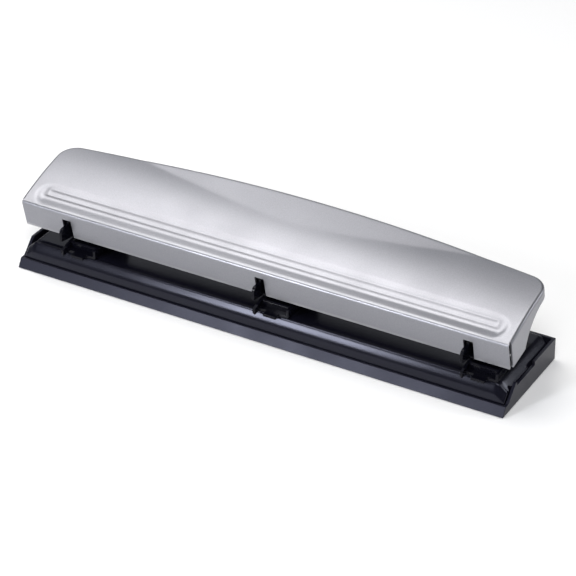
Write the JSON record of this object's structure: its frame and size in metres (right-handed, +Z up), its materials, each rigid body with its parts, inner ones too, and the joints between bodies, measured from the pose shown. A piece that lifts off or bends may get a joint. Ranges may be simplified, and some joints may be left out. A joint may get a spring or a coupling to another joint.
{
  "type": "three hole punch",
  "caption": "Desktop three hole punch with a long pressed steel lever handle, sprung punch heads on a steel base and a lift-off chip tray below.",
  "frame": {"origin": "centre of the footprint, on the surface the punch stands on", "axes": "+X along the row of holes, +Y towards the handle's palm edge, +Z up; paper goes in from -Y"},
  "size_m": [0.2638, 0.0559, 0.0497],
  "materials": {
    "silver_paint": "satin metallic paint",
    "black_enamel": "gloss",
    "tray_plastic": "semi gloss moulded",
    "foot_rubber": "matt",
    "black_steel": "gloss black plated",
    "zinc_steel": "bright zinc",
    "bright_steel": "ground",
    "pin_steel": "polished",
    "spring_steel": "bright"
  },
  "bodies": {
    "tray": {"chip_tray": "tray_plastic", "rubber_feet": "foot_rubber"},
    "base": {"base_pan": "black_enamel", "head_bracket_left": "black_steel", "die_plate_left": "bright_steel", "guide_plate_left": "bright_steel", "top_guide_left": "black_steel", "head_rivets_left": "bright_steel", "return_spring_left": "spring_steel", "head_bracket_centre": "black_steel", "die_plate_centre": "bright_steel", "guide_plate_centre": "bright_steel", "top_guide_centre": "black_steel", "head_rivets_centre": "bright_steel", "return_spring_centre": "spring_steel", "head_bracket_right": "black_steel", "die_plate_right": "bright_steel", "guide_plate_right": "bright_steel", "top_guide_right": "black_steel", "head_rivets_right": "bright_steel", "return_spring_right": "spring_steel"},
    "handle": {"handle_cover": "silver_paint", "lever_bracket_left": "zinc_steel", "pivot_pin_left": "pin_steel", "pivot_ring_left": "spring_steel", "lever_bracket_centre": "zinc_steel", "pivot_pin_centre": "pin_steel", "pivot_ring_centre": "spring_steel", "lever_bracket_right": "zinc_steel", "pivot_pin_right": "pin_steel", "pivot_ring_right": "spring_steel"},
    "pin_left": {"punch_pin_left": "pin_steel", "spring_clip_left": "spring_steel"},
    "pin_centre": {"punch_pin_centre": "pin_steel", "spring_clip_centre": "spring_steel"},
    "pin_right": {"punch_pin_right": "pin_steel", "spring_clip_right": "spring_steel"}
  },
  "joints": [
    {"name": "tray_release", "type": "slide", "parent": "tray", "child": "base", "axis": [0, 0, 1], "range_m": [0, 0.03]},
    {"name": "handle_press", "type": "hinge", "parent": "base", "child": "handle", "pos_m": [0, -0.0155, 0.0285], "axis": [-1, 0, 0], "range_deg": [0, 24], "stiffness_Nm_per_rad": 0.5, "springref_deg": -17.19},
    {"name": "pin_left_slide", "type": "slide", "parent": "base", "child": "pin_left", "axis": [0, 0, -1], "range_m": [0, 0.0049], "deforming": ["return_spring_left"]},
    {"name": "pin_centre_slide", "type": "slide", "parent": "base", "child": "pin_centre", "axis": [0, 0, -1], "range_m": [0, 0.0049], "deforming": ["return_spring_centre"]},
    {"name": "pin_right_slide", "type": "slide", "parent": "base", "child": "pin_right", "axis": [0, 0, -1], "range_m": [0, 0.0049], "deforming": ["return_spring_right"]}
  ],
  "couplings": [
    {"joint": "pin_left_slide", "follows": "handle_press", "m_per_rad": 0.011392},
    {"joint": "pin_centre_slide", "follows": "handle_press", "m_per_rad": 0.011392},
    {"joint": "pin_right_slide", "follows": "handle_press", "m_per_rad": 0.011392}
  ]
}
